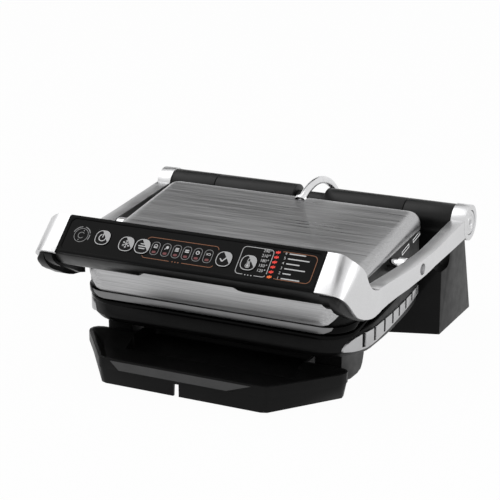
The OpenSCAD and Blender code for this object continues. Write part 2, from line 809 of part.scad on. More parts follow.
// Satin band along the lid's lower front edge
module lid_band() {
    color([0.5, 0.5, 0.51]) cook_frame() intersection() {
        difference() {
            translate([0, 0, rim_low - 0.2]) linear_extrude(front_edge_z - rim_low) polygon(lid_plan(-1.6));
            translate([0, 0, rim_low - 1]) linear_extrude(20) polygon(lid_plan(-0.65));
        }
        translate([0, 60, 0]) rotate([90, 0, 0]) linear_extrude(100) polygon(whole(
            [[112, rim_low - 0.3], [119, rim_low + 0.6], [125, rim_low + 3.4], [127, front_edge_z]]));
    }
}

vent_y = [136, 165];
vent_z = [24.6, 26.7];
vent_l = 19;
vent_h = 4;
vent_slope = 6.5;

module vent_trims() {
    color([0.8, 0.8, 0.8]) cook_frame() both_sides() for (k = [0, 1])
        translate([lid_half - 6, vent_y[k], vent_z[k]]) rotate([vent_slope, 0, 0]) difference() {
            cube([5.2, vent_l, vent_h]);
            translate([1, 1.2, 1]) cube([6, vent_l - 2.4, vent_h - 2]);
        }
}

module pivot_collar() {
    difference() {
        union() {
            rod_x(collar_r, 149, 157.2, pivot_y, pivot_z);
            rod_x(collar_r - 2, lid_half - 6, 150, pivot_y, pivot_z);
        }
        rod_x(pivot_r + run_fit, 130, 165, pivot_y, pivot_z);
    }
}

module pivot_collar_right() { color([0.85, 0.85, 0.85]) pivot_collar(); }
module pivot_collar_left() { color([0.85, 0.85, 0.85]) mirror([1, 0, 0]) pivot_collar(); }

// Bright ring where the conduit enters the lid
module conduit_flange() {
    a = conduit_angle[1] - 3;
    color([0.85, 0.85, 0.85]) translate([conduit_x, 0, 0]) difference() {
        translate([0, conduit_mid[0] + conduit_bend_r * cos(a), conduit_mid[1] + conduit_bend_r * sin(a)])
            rotate([a, 0, 0]) cylinder(r = conduit_r + 3, h = 3, center = true);
        conduit_line(conduit_r + 0.6);
    }
}

// ---- plates, elements and sensors -------------------------------------------

module plate_ribs(z0, z1) {
    pitch = 2 * (plate_half - 14) / (rib_n - 1);
    for (i = [0:rib_n - 1])
        translate([-plate_half + 14 + pitch * i - rib_w / 2, plate_y[0] + 12, z0])
            cube([rib_w, plate_y[1] - plate_y[0] - 24, z1 - z0]);
}

// Cast plate: a floor, ribs and a rim, with its drain lip at the front
module lower_plate() {
    floor_z = lower_face - rib_h;
    color([0.2, 0.2, 0.21]) cook_frame() difference() {
        union() {
            plate_of(-plate_half, plate_y[0], plate_half, plate_y[1], 10, floor_z - 5, lower_face);
        }
        difference() {
            plate_of(-plate_half + 5, plate_y[0] + 5, plate_half - 5, plate_y[1] - 5, 8, floor_z, 5);
            plate_ribs(floor_z - 1, lower_face);
        }
        translate([-24, plate_y[0] - 5, floor_z]) cube([48, 12, 20]);
    }
}

module upper_plate() {
    roof_z = upper_face + rib_h;
    color([0.2, 0.2, 0.21]) cook_frame() difference() {
        plate_of(-plate_half, plate_y[0], plate_half, plate_y[1], 10, upper_face, roof_z + 5);
        difference() {
            plate_of(-plate_half + 5, plate_y[0] + 5, plate_half - 5, plate_y[1] - 5, 8, upper_face - 5, roof_z);
            plate_ribs(upper_face, roof_z + 1);
        }
    }
}

// Tubular element bent into a double loop, lying in the plane z of the cook frame
module element(z) {
    r = 3.2;
    bend = 16;
    y0 = plate_y[0] + 34;
    y1 = plate_y[1] - 34;
    xs = [-80, -48, -16, 16, 48, 80];
    cook_frame() translate([0, 0, z]) {
        for (x = xs) translate([x, y0, 0]) rotate([-90, 0, 0]) cylinder(r = r, h = y1 - y0);
        for (k = [0, 2, 4]) translate([xs[k] + bend, y0, 0]) rotate([0, 0, 180])
            rotate_extrude(angle = 180) translate([bend, 0]) circle(r = r, $fn = 24);
        for (k = [1, 3]) translate([xs[k] + bend, y1, 0])
            rotate_extrude(angle = 180) translate([bend, 0]) circle(r = r, $fn = 24);
        for (x = [-80, 80]) translate([x, y1 - eps, 0]) rotate([-90, 0, 0]) cylinder(r = r, h = 14);
    }
}

element_low_z = lower_face - rib_h - 5 - 3.4;
element_high_z = upper_face + rib_h + 5 + 3.4;

module lower_element() { color([0.35, 0.33, 0.3]) element(element_low_z); }
module upper_element() { color([0.35, 0.33, 0.3]) element(element_high_z); }

module reflector_pan(z0, z1) {
    difference() {
        plate_of(-112, plate_y[0] + 8, 112, plate_y[1] - 8, 8, z0, z1);
        children();
    }
}

module lower_reflector() {
    pan_z = element_low_z - 5;
    color([0.75, 0.75, 0.75]) cook_frame() difference() {
        plate_of(-112, plate_y[0] + 8, 112, plate_y[1] - 8, 8, pan_z, pan_z + 8);
        plate_of(-111, plate_y[0] + 9, 111, plate_y[1] - 9, 7, pan_z + 1, pan_z + 9);
        translate([0, 93, pan_z - 1]) cylinder(r = 4.3, h = 10);
        translate([-24, plate_y[0], pan_z + 1]) cube([48, 12, 12]);
    }
}

module upper_reflector() {
    pan_z = element_high_z + 4;
    color([0.75, 0.75, 0.75]) cook_frame() difference() {
        plate_of(-112, plate_y[0] + 8, 112, plate_y[1] - 8, 8, pan_z - 7, pan_z + 1);
        plate_of(-111, plate_y[0] + 9, 111, plate_y[1] - 9, 7, pan_z - 8, pan_z);
        translate([0, 93, pan_z - 9]) cylinder(r = 4.3, h = 20);
    }
}

module lower_sensor() {
    top_z = lower_face - rib_h - 5.05;
    color([0.8, 0.7, 0.4]) cook_frame() {
        translate([0, 93, top_z - 16]) cylinder(r = 4, h = 16);
        translate([0, 93, top_z - 18]) cylinder(r = 6, h = 4);
    }
}

module upper_sensor() {
    low_z = upper_face + rib_h + 5.05;
    color([0.8, 0.7, 0.4]) cook_frame() {
        translate([0, 93, low_z]) cylinder(r = 4, h = 14);
        translate([0, 93, low_z + 11.5]) cylinder(r = 6, h = 3);
    }
}

// ---- plate release buttons --------------------------------------------------

lower_release_pos = [base_half - 5, -10, 66.8];
lower_release_r = 3.4;

module lower_release_hole() {
    mirror([1, 0, 0])
        rod_x(lower_release_r + 0.3, base_half - 12, base_half + 5, lower_release_pos[1], lower_release_pos[2]);
}

module release_button(r, x0, x1, flange_x) {
    union() {
        rod_x(r, x0, x1);
        rod_x(r + 1.2, flange_x - 1.5, flange_x);
    }
}

module lower_release_button() {
    color([0.5, 0.5, 0.5]) mirror([1, 0, 0])
        translate([0, lower_release_pos[1], lower_release_pos[2]])
            release_button(lower_release_r, base_half - 10, base_half + 1.5, base_half - 7.4);
}

module upper_release_button() {
    color([0.5, 0.5, 0.5]) cook_frame() translate([0, 60, 18])
        release_button(release_r, lid_half - 9, lid_half + 2, lid_half - 4.6);
}

// ---- drip tray --------------------------------------------------------------

// Right half of the tray's plan at the rim, drawn in by i
function tray_half_plan(i) = [[tray_front_half - 6 - i, -tray_rim_y + i],
    [tray_front_half - 2.6 - i, -tray_rim_y + 0.7 + i], [tray_front_half - i * 0.7, -tray_rim_y + 3 + i],
    [134.6 - i, -120 + i * 0.6], [tray_side_half - i, -114 + i * 0.2], [136.4 - i, -108.4 - i * 0.3],
    [133.4 - i * 0.7, -104.4 - i], [128 - i * 0.3, -102.4 - i], [120, -102 - i]];

// The same at the floor
function tray_foot_plan(i) = [[tray_front_half - 9 - i, -tray_rim_y + 1.3 + i],
    [tray_front_half - 3.4 - i * 0.7, -tray_rim_y + 3.6 + i], [132.2 - i, -113 + i * 0.6],
    [131.4 - i, -107 - i * 0.6], [127 - i * 0.5, -103.6 - i], [120, -103.4 - i]];

module tray_slice(i, z0, z1) {
    translate([0, 0, z0]) linear_extrude(z1 - z0) polygon(whole(tray_half_plan(i)));
}

module tray_foot(i, z0, z1) {
    translate([0, 0, z0]) linear_extrude(z1 - z0) polygon(whole(tray_foot_plan(i)));
}

module tray_tail(i, z0, z1) {
    plate_of(-tray_tail_half + i, -116 + i, tray_tail_half - i, -64 - i, 8 - i, z0, z1);
}

module drip_tray() {
    color([0.05, 0.05, 0.055]) difference() {
        union() {
            hull() {
                tray_foot(0, tray_foot_z, tray_foot_z + 0.5);
                tray_slice(1.2, tray_band_z - 0.4, tray_band_z);
            }
            tray_slice(0.4, tray_band_z - 0.1, tray_h);
            tray_tail(0, tray_foot_z, tray_h - 0.8);
            // pull lip across the front
            hull() {
                along_x(-77, 74) polygon([[-tray_rim_y - 0.2, tray_h - 1.2],
                    [-tray_rim_y + 1.6, tray_h - 0.5], [-tray_rim_y + 1.6, tray_h - 2]]);
                along_x(-64.5, 50) polygon([[-tray_front, 17.2],
                    [-tray_front + 6.5, 18.4], [-tray_front + 6.5, 14]]);
            }
        }
        // basin: a raised floor in front, and a deeper one that runs back under the base
        hull() {
            translate([0, 0, tray_step_z]) linear_extrude(0.5) polygon(whole(tray_floor));
            tray_slice(tray_wall, tray_h + 1, tray_h + 2);
        }
        translate([-tray_tail_half + tray_wall, tray_step_y, tray_floor_z])
            cube([2 * (tray_tail_half - tray_wall), 14, 20]);
        tray_tail(tray_wall, tray_floor_z, 40);
        // hollow under the floor, open below
        hull() {
            tray_foot(tray_wall, -1, -0.5);
            tray_foot(tray_wall + 1, tray_floor_z - 3, tray_floor_z - 2.5);
        }
        tray_tail(tray_wall, -1, tray_floor_z - 2.5);
        // slot in the skirt
        translate([-8.7, -tray_front - 5, -1]) cube([5.6, 16, 13.4]);
    }
}

base_shell();
base_rim();
side_trim_left();
side_trim_right();
rear_housing();
rear_cover();
bottom_cover();
hinge_knuckle_left();
hinge_knuckle_right();
hinge_bush_left();
hinge_bush_right();
lower_plate();
lower_element();
lower_reflector();
lower_sensor();
lower_release_button();
power_board();
rubber_feet();
cover_screws();
cord_gland();
arm_left();
arm_right();
boss_cap_left();
boss_cap_right();
hinge_shaft();
shaft_cover_left();
shaft_cover_right();
shaft_saddle();
pivot_pin_left();
pivot_pin_right();
arm_liner_left();
arm_liner_right();
handle_shell();
panel_frame();
panel_window();
control_board();
key_switches();
power_key();
frozen_key();
program_key();
confirm_key();
temperature_key();
conduit();
lid_cover();
lid_skirt();
lid_rim();
lid_band();
vent_trims();
pivot_collar_left();
pivot_collar_right();
upper_plate();
upper_element();
upper_reflector();
upper_sensor();
upper_release_button();
conduit_flange();
drip_tray();
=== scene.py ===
"""The finished look of an electric contact grill, built round its packed construction model.

Places are in metres: +X is the viewer's right, +Y runs from the handle to the hinge and
+Z is up. Small pieces are drawn in millimetres and put in place by one of the frames below.
"""

import json
from math import cos, pi, radians, sin

import bmesh
import bpy
from mathutils import Matrix, Vector

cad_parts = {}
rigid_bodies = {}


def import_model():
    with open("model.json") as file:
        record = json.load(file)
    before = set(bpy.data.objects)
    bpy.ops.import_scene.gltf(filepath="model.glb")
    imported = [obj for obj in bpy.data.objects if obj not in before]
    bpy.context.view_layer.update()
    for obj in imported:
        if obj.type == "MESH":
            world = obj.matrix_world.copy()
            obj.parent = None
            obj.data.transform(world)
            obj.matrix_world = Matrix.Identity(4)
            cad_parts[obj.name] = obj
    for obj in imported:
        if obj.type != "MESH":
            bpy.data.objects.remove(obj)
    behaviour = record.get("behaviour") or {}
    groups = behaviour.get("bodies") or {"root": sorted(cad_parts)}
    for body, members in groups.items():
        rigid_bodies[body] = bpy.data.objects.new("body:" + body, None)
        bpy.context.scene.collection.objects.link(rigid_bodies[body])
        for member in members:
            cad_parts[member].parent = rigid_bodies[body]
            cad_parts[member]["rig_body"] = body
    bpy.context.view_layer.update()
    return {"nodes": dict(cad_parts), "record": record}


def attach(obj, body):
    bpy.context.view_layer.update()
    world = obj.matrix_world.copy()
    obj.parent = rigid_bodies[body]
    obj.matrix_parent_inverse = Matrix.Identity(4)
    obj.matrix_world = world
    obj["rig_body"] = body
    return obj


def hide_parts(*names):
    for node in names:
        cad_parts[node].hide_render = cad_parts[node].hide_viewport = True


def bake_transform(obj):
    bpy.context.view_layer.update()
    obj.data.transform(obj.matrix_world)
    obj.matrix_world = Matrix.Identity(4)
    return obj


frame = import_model()
nodes = frame["nodes"]
slot_of = {part["node"]: part["material_slot"] for part in frame["record"]["subparts"]}

# ---- frames and shared sizes -------------------------------------------------------

MILLIMETRES = Matrix.Scale(0.001, 4)
# The key panel: x to the right, y up the slope, z out of the glass
PANEL = (Matrix.Translation((0, -0.1627, 0.13675)) @ Matrix.Rotation(radians(43.5), 4, "X")
         @ MILLIMETRES)
# The cooking faces: the origin is at the front of the parting plane, y runs to the hinge
COOK = Matrix.Translation((0, -0.124, 0.067)) @ Matrix.Rotation(radians(5.4), 4, "X") @ MILLIMETRES
HINGE_Y, HINGE_Z = 106.5, 116.6
ARM_X = 174.4
PIVOT_Y, PIVOT_Z = -21, 104
KEY_PROUD = 0.7
# Edges that turn by more than this are rounded over, and stay sharp in the shading
SHARP_ANGLE = 34
MERGE_DISTANCE = 0.000002
FLAT_WITHIN = 0.6
PRINT_LIFT = 0.05
PRINT_DEPTH = 0.06


# ---- camera ------------------------------------------------------------------------

def photo_camera():
    """The view of the photograph, solved from the grill's straight edges."""
    data = bpy.data.cameras.new("photo_camera")
    data.sensor_width = 36
    data.lens = 121.2
    camera = bpy.data.objects.new("photo_camera", data)
    camera.location = (0.699, -1.435, 0.585)
    camera.rotation_euler = (radians(72.88), 0, radians(26.56))
    bpy.context.scene.collection.objects.link(camera)
    bpy.context.scene.camera = camera


photo_camera()


# ---- finishes ----------------------------------------------------------------------

class Finish:
    """A surface whose colour, roughness and relief come from patterns in object space."""

    def __init__(self, name, colour, roughness, metallic=0.0, specular=0.5, coat=0.0):
        self.material = bpy.data.materials.new(name)
        self.material.use_nodes = True
        self.tree = self.material.node_tree
        self.shader = self.tree.nodes["Principled BSDF"]
        self.position = self.tree.nodes.new("ShaderNodeTexCoord").outputs["Object"]
        self.material.diffuse_color = (*colour, 1)
        self.set("Base Color", (*colour, 1))
        self.set("Roughness", roughness)
        self.set("Metallic", metallic)
        self.set("Specular IOR Level", specular)
        self.set("Coat Weight", coat)
        self.set("Coat Roughness", 0.06)
        self.normal = None

    def set(self, socket, value):
        self.shader.inputs[socket].default_value = value

    def link(self, output, target):
        self.tree.links.new(output, target)

    def noise(self, scale, stretch=(1, 1, 1), detail=3.0, turn=(0, 0, 0)):
        """Soft noise with about scale blobs to the metre, times stretch along each axis."""
        mapping = self.tree.nodes.new("ShaderNodeMapping")
        mapping.inputs["Scale"].default_value = stretch
        mapping.inputs["Rotation"].default_value = turn
        self.link(self.position, mapping.inputs["Vector"])
        texture = self.tree.nodes.new("ShaderNodeTexNoise")
        texture.inputs["Scale"].default_value = scale
        texture.inputs["Detail"].default_value = detail
        self.link(mapping.outputs["Vector"], texture.inputs["Vector"])
        return texture.outputs["Fac"]

    def between(self, factor, low, high):
        """Spreads a pattern's middle values from low to high."""
        ramp = self.tree.nodes.new("ShaderNodeMapRange")
        for socket, value in (("From Min", 0.3), ("From Max", 0.7),
                              ("To Min", low), ("To Max", high)):
            ramp.inputs[socket].default_value = value
        self.link(factor, ramp.inputs["Value"])
        return ramp.outputs["Result"]

    def mottle(self, factor, dark, light):
        mix = self.tree.nodes.new("ShaderNodeMix")
        mix.data_type = "RGBA"
        mix.inputs["A"].default_value = (*dark, 1)
        mix.inputs["B"].default_value = (*light, 1)
        self.link(self.between(factor, 0, 1), mix.inputs["Factor"])
        self.link(mix.outputs["Result"], self.shader.inputs["Base Color"])
        return self

    def patchy(self, factor, low, high):
        """Varies the roughness with a pattern."""
        self.link(self.between(factor, low, high), self.shader.inputs["Roughness"])
        return self

    def relief(self, factor, depth, strength=1.0):
        """Raises a pattern by depth, in metres."""
        bump = self.tree.nodes.new("ShaderNodeBump")
        bump.inputs["Strength"].default_value = strength
        bump.inputs["Distance"].default_value = depth
        self.link(factor, bump.inputs["Height"])
        if self.normal:
            self.link(self.normal, bump.inputs["Normal"])
        self.normal = bump.outputs["Normal"]
        self.link(self.normal, self.shader.inputs["Normal"])
        return self


def grey(value):
    return (value, value, value * 1.01)


def satin_silver():
    f = Finish("satin_silver", grey(0.62), 0.34, metallic=1.0)
    f.patchy(f.noise(60, detail=4), 0.30, 0.38)
    f.mottle(f.noise(1400, detail=2), grey(0.58), grey(0.66))
    return f.relief(f.noise(2200, detail=2), 0.00002, 0.25)


def brushed_lid():
    """Steel brushed from left to right."""
    f = Finish("brushed_lid", grey(0.44), 0.36, metallic=1.0)
    strokes = f.noise(1, (14, 1500, 1500), detail=5)
    f.patchy(f.noise(1, (9, 420, 420), detail=4), 0.27, 0.44)
    f.mottle(strokes, grey(0.33), grey(0.52))
    return f.relief(strokes, 0.00004, 0.35)


def black_plastic(name, tone, roughness, grain=1800, depth=0.00003, specular=0.07):
    f = Finish(name, grey(tone), roughness, specular=specular)
    f.mottle(f.noise(35, detail=4), grey(tone * 0.85), grey(tone * 1.2))
    f.patchy(f.noise(90, detail=3), roughness - 0.04, roughness + 0.05)
    return f.relief(f.noise(grain, detail=2), depth, 0.35)


def coated_plate():
    """Cast aluminium with a dark non-stick coat and its fine flecks."""
    f = Finish("coated_plate", grey(0.05), 0.38)
    f.mottle(f.noise(2600, detail=1), grey(0.035), grey(0.09))
    f.patchy(f.noise(150), 0.32, 0.46)
    return f.relief(f.noise(700, detail=3), 0.00008, 0.4)


def plain_metal(name, colour, roughness, strokes=(1, 1, 1), scale=900):
    f = Finish(name, colour, roughness, metallic=1.0)
    lines = f.noise(scale, strokes, detail=3)
    f.mottle(f.noise(120, detail=3), tuple(c * 0.92 for c in colour), colour)
    f.patchy(lines, max(roughness - 0.04, 0.02), roughness + 0.05)
    return f.relief(lines, 0.00002, 0.2)


def printed(name, colour, roughness=0.45, glow=0.0):
    """Ink, a lit mark or a painted highlight under the panel's gloss."""
    f = Finish(name, colour, roughness)
    f.mottle(f.noise(4000, detail=1), tuple(c * 0.88 for c in colour), colour)
    if glow:
        f.set("Emission Color", (*colour, 1))
        f.set("Emission Strength", glow)
    return f


def circuit_board():
    f = Finish("circuit", (0.03, 0.16, 0.06), 0.4)
    f.mottle(f.noise(300, (1, 4, 1), detail=1), (0.02, 0.12, 0.045), (0.05, 0.24, 0.10))
    return f.relief(f.noise(900, detail=1), 0.00005, 0.3)


FINISHES = {
    "satin_silver": satin_silver(),
    "brushed_lid": brushed_lid(),
    "black_body": black_plastic("black_body", 0.006, 0.40, specular=0.10),
    "black_satin": black_plastic("black_satin", 0.006, 0.36, specular=0.22),
    "black_gloss": black_plastic("black_gloss", 0.003, 0.12, depth=0.000004, specular=0.05),
    "dark_frame": black_plastic("dark_frame", 0.006, 0.40, specular=0.04),
    "key_gloss": black_plastic("key_gloss", 0.003, 0.14, depth=0.000004, specular=0.06),
    "grey_trim": plain_metal("grey_trim", grey(0.46), 0.38),
    "coated_plate": coated_plate(),
    "element_steel": plain_metal("element_steel", (0.30, 0.27, 0.24), 0.45),
    "bright_sheet": plain_metal("bright_sheet", grey(0.7), 0.28),
    "circuit": circuit_board(),
    "foot_rubber": black_plastic("foot_rubber", 0.018, 0.75, depth=0.00008),
    "bush_bronze": plain_metal("bush_bronze", (0.55, 0.36, 0.16), 0.35),
    "bright_steel": plain_metal("bright_steel", grey(0.72), 0.22, (4, 1, 1)),
    "chrome_trim": plain_metal("chrome_trim", grey(0.75), 0.12),
    # painted light: a lighter grey than the tray's black, for the light on the pull lip's upward
    # slope
    "tray_lip": black_plastic("tray_lip", 0.055, 0.40, specular=0.35),
    "dark_steel": plain_metal("dark_steel", grey(0.06), 0.3),
    "satin_band": plain_metal("satin_band", grey(0.20), 0.34, (14, 1500, 1500), 1),
}
WHITE_INK = printed("white_ink", grey(0.72))
GREY_INK = printed("grey_ink", grey(0.28))
ORANGE_INK = printed("orange_ink", (0.34, 0.115, 0.035))
# painted highlight: a pale grey that stands in for the lamps' glare on the glossy keys
GLARE_PAINT = printed("painted_glare", grey(0.50), 0.3)
DIM_LIGHT = printed("dim_light", (0.16, 0.012, 0.015))
RED_LIGHT = printed("red_light", (0.75, 0.035, 0.02), glow=0.35)
AMBER_LIGHT = printed("amber_light", (0.85, 0.16, 0.02), glow=0.3)


# ---- making pieces -----------------------------------------------------------------

def finished(name, bm, body, finish, place=None, replaces=()):
    """Turns a bmesh into a finished piece, in place, that rides on a body if one is named."""
    if place is not None:
        bm.transform(place)
    mesh = bpy.data.meshes.new(name)
    bm.to_mesh(mesh)
    bm.free()
    mesh.materials.append(finish.material)
    mesh.shade_smooth()
    mesh.set_sharp_from_angle(angle=radians(SHARP_ANGLE))
    piece = bpy.data.objects.new(name, mesh)
    bpy.context.scene.collection.objects.link(piece)
    if body:
        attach(piece, body)
    if replaces:
        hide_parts(*replaces)
    return piece


def merged_copy(node):
    """A copy of a construction node as one clean skin of flat faces."""
    bm = bmesh.new()
    bm.from_mesh(nodes[node].data)
    bmesh.ops.remove_doubles(bm, verts=bm.verts, dist=MERGE_DISTANCE)
    bmesh.ops.dissolve_limit(bm, angle_limit=radians(FLAT_WITHIN), verts=bm.verts, edges=bm.edges)
    return bm


def softened(node, width, segments=3, rides=True):
    """Stands for a node with its hard edges rounded over by width millimetres."""
    bm = merged_copy(node)
    edges = [e for e in bm.edges
             if len(e.link_faces) == 2 and e.calc_face_angle(0) > radians(SHARP_ANGLE)]
    bmesh.ops.bevel(bm, geom=edges, offset=width * 0.001, offset_type="OFFSET", affect="EDGES",
                    segments=segments, profile=0.5, clamp_overlap=True, material=-1)
    slot = slot_of[node]
    body = nodes[node]["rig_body"] if rides else None
    return finished(node + "_form", bm, body, FINISHES[slot], replaces=[node])


def new_faces(bm, before):
    return [face for face in bm.faces if face not in before]


def patch(bm, centre, size, radius=0.0, segments=5):
    """A flat rectangle with round corners in the XY plane."""
    before = set(bm.faces)
    place = Matrix.Translation((*centre, 0)) @ Matrix.Diagonal((*size, 1, 1))
    made = bmesh.ops.create_grid(bm, x_segments=1, y_segments=1, size=0.5, matrix=place)
    if radius:
        bmesh.ops.bevel(bm, geom=made["verts"], offset=min(radius, min(size) * 0.499),
                        segments=segments, profile=0.5, affect="VERTICES", material=-1)
    return new_faces(bm, before)


def split(bm, faces, point, across):
    """Cuts some faces along a plane and returns all that they become."""
    others = set(bm.faces) - set(faces)
    geom = dict.fromkeys(g for f in faces for g in (f, *f.edges, *f.verts))
    bmesh.ops.bisect_plane(bm, geom=list(geom), plane_co=point, plane_no=across)
    return [f for f in bm.faces if f not in others]


def outline(bm, centre, size, radius, line, gaps=()):
    """A line of even width round a rounded rectangle, less each (x0, y0, x1, y1) gap."""
    face = patch(bm, centre, size, radius)[0]
    before = set(bm.faces)
    bmesh.ops.inset_region(bm, faces=[face], thickness=line, use_boundary=True,
                           use_even_offset=True)
    bmesh.ops.delete(bm, geom=[face], context="FACES_ONLY")
    ring = new_faces(bm, before - {face})
    for x0, y0, x1, y1 in gaps:
        for cut, across in ((x0, (1, 0, 0)), (x1, (1, 0, 0)), (y0, (0, 1, 0)), (y1, (0, 1, 0))):
            ring = split(bm, ring, Vector(across) * cut, across)
        middle = [f for f in ring if x0 < f.calc_center_median().x < x1
                  and y0 < f.calc_center_median().y < y1]
        ring = [f for f in ring if f not in middle]
        bmesh.ops.delete(bm, geom=middle, context="FACES")
    return ring


def disc(bm, centre, radius, segments=24):
    before = set(bm.faces)
    bmesh.ops.create_circle(bm, cap_ends=True, radius=radius, segments=segments,
                            matrix=Matrix.Translation((*centre, 0)))
    return new_faces(bm, before)


def bar(bm, start, end, width, radius=0.0):
    """A flat bar from start to end."""
    start, end = Vector(start), Vector(end)
    along = end - start
    faces = patch(bm, (0, 0), (along.length, width), radius, segments=3)
    turn = (Matrix.Translation((*((start + end) / 2), 0))
            @ Matrix.Rotation(along.angle_signed(Vector((1, 0))), 4, "Z"))
    bmesh.ops.transform(bm, matrix=turn, verts=list({v for f in faces for v in f.verts}))
    return faces


def arc(bm, centre, radius, line, start, end, steps=20):
    """Part of a ring, from start to end in degrees."""
    a = radians(start)
    edge = [bm.verts.new((centre[0] + r * cos(a), centre[1] + r * sin(a), 0))
            for r in (radius - line / 2, radius + line / 2)]
    before = set(bm.faces)
    bmesh.ops.spin(bm, geom=[*edge, bm.edges.new(edge)], cent=(*centre, 0), axis=(0, 0, 1),
                   angle=radians(end - start), steps=steps, use_merge=end - start == 360)
    return new_faces(bm, before)


def numeral(bm, words, centre, height, align="CENTER"):
    """Plain figures, laid flat in the XY plane."""
    curve = bpy.data.curves.new("figures", "FONT")
    curve.body = words
    curve.size = height
    curve.align_x = align
    curve.align_y = "CENTER"
    curve.resolution_u = 3
    holder = bpy.data.objects.new("figures", curve)
    bpy.context.scene.collection.objects.link(holder)
    bpy.context.view_layer.update()
    graph = bpy.context.evaluated_depsgraph_get()
    flat = bpy.data.meshes.new_from_object(holder.evaluated_get(graph))
    flat.transform(Matrix.Translation((*centre, 0)))
    bm.from_mesh(flat)
    bpy.data.objects.remove(holder)
    bpy.data.curves.remove(curve)
    bpy.data.meshes.remove(flat)


def inked(name, bm, body, finish, lift):
    """Gives flat marks, ink or a painted highlight, their thin layer, and lays them on the panel.
    """
    bmesh.ops.remove_doubles(bm, verts=bm.verts, dist=0.002)
    bmesh.ops.recalc_face_normals(bm, faces=bm.faces)
    for face in bm.faces:
        if face.normal.z < 0:
            face.normal_flip()
    grown = bmesh.ops.extrude_face_region(bm, geom=list(bm.faces), use_keep_orig=True)["geom"]
    top = [g for g in grown if isinstance(g, bmesh.types.BMVert)]
    bmesh.ops.translate(bm, vec=(0, 0, PRINT_DEPTH), verts=top)
    bmesh.ops.recalc_face_normals(bm, faces=bm.faces)
    bmesh.ops.translate(bm, vec=(0, 0, lift), verts=bm.verts)
    return finished(name, bm, body, finish, PANEL)


def lathe(bm, outline_points, centre, steps=48):
    """Turns an outline of (along X, radius) points about X through centre, and closes it."""
    before = set(bm.verts)
    points = [bm.verts.new((along, radius, 0)) for along, radius in outline_points]
    edges = [bm.edges.new(pair) for pair in zip(points, points[1:])]
    bmesh.ops.spin(bm, geom=[*points, *edges], cent=(0, 0, 0), axis=(1, 0, 0),
                   angle=2 * pi, steps=steps, use_merge=True)
    made = [v for v in bm.verts if v not in before]
    bmesh.ops.remove_doubles(bm, verts=made, dist=0.0005)
    made = [v for v in bm.verts if v not in before]
    bmesh.ops.translate(bm, vec=centre, verts=made)
    bmesh.ops.recalc_face_normals(bm, faces=bm.faces)


# ---- every node that stays gets its finish -----------------------------------------

for node, holder in nodes.items():
    holder.data.materials.clear()
    holder.data.materials.append(FINISHES[slot_of[node]].material)


# ---- body, trims, hinge and tray ---------------------------------------------------

softened("drip_tray", 0.9)
softened("rear_housing", 1.6)
for side in ("left", "right"):
    softened(f"side_trim_{side}", 0.5, segments=2)
    softened(f"arm_{side}", 1.6)
    softened(f"arm_liner_{side}", 1.0, segments=2)
    softened(f"hinge_knuckle_{side}", 0.8)
    softened(f"shaft_cover_{side}", 0.8)
    softened(f"pivot_collar_{side}", 0.6)
softened("handle_shell", 1.2)
softened("panel_frame", 0.5, segments=2)
softened("base_shell", 0.6, segments=2)
softened("base_rim", 0.6, segments=2)
softened("lid_rim", 0.5, segments=2)
softened("lid_band", 0.35, segments=2)
softened("lid_skirt", 0.4, segments=2)
softened("lid_cover", 0.3, segments=2)
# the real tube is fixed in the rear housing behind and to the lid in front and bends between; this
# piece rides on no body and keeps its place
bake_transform(softened("conduit", 0.2, segments=2, rides=False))

# ---- printed marks on the panel ----------------------------------------------------

KEY_PLACES = {"power_key": (-89.5, 0.8), "frozen_key": (-63, -2), "program_key": (-46, -2),
              "confirm_key": (38, -2.4), "temperature_key": (62.5, -2.4)}
PILL_U = [-32.9, -21.6, -10.8, -0.4, 10.5, 21.5]
PILL_V = -1.8
LIGHT_U = 86.4
LIGHT_V = [12.4 - 5.05 * i for i in range(6)]


def power_icon(bm, u, v):
    arc(bm, (u, v), 3.5, 0.9, 115, 425)
    bar(bm, (u, v + 0.2), (u, v + 4.6), 0.9, 0.4)


def frozen_icon(bm, u, v):
    for turn in range(6):
        a = radians(60 * turn + 30)
        tip = Vector((cos(a), sin(a)))
        side = Vector((-tip.y, tip.x))
        middle = Vector((u, v))
        bar(bm, middle + tip * 0.3, middle + tip * 4.4, 0.55, 0.2)
        for way in (-1, 1):
            bar(bm, middle + tip * 2.4, middle + tip * 3.6 + side * way * 1.1, 0.45, 0.15)


def program_icon(bm, u, v):
    for row, length in ((2.6, 5.2), (0.2, 8.4), (-2.2, 6.6)):
        bar(bm, (u - length / 2, v + row), (u + length / 2, v + row), 1.0, 0.45)


def confirm_icon(bm, u, v):
    bar(bm, (u - 3.8, v + 0.2), (u - 1.0, v - 2.8), 1.1, 0.4)
    bar(bm, (u - 1.3, v - 2.8), (u + 3.6, v + 3.4), 1.1, 0.4)


def temperature_icon(bm, u, v):
    disc(bm, (u, v - 3.0), 1.3)
    arc(bm, (u, v - 3.0), 2.1, 0.5, 125, 415)
    bar(bm, (u, v - 2.6), (u, v + 1.6), 0.7, 0.3)
    outline(bm, (u, v + 1.4), (2.8, 6.2), 1.35, 0.5, gaps=[(u - 2, v - 2.5, u + 2, v - 1.3)])


KEY_ICONS = {"power_key": power_icon, "frozen_key": frozen_icon, "program_key": program_icon,
             "confirm_key": confirm_icon, "temperature_key": temperature_icon}

for key, (u, v) in KEY_PLACES.items():
    bm = bmesh.new()
    outline(bm, (u, v), (15.2, 15.2), 6.2, 0.65)
    KEY_ICONS[key](bm, u, v)
    inked(key + "_marks", bm, key, WHITE_INK, KEY_PROUD + PRINT_LIFT)
    # a pale patch over the upper right of each key, a painted highlight for the glare on its gloss
    bm = bmesh.new()
    faces = patch(bm, (u, v), (14.6, 14.6), 6.0, segments=8)
    across = Vector((10.0, 7.7, 0)).normalized()
    edge = Vector((u - 2.0, v + 7.0, 0))
    faces = split(bm, faces, edge, across)
    outside = [f for f in faces if (f.calc_center_median() - edge).dot(across) < 0]
    bmesh.ops.delete(bm, geom=outside, context="FACES")
    inked(key + "_painted_glare", bm, key, GLARE_PAINT, KEY_PROUD + PRINT_LIFT + 0.02)

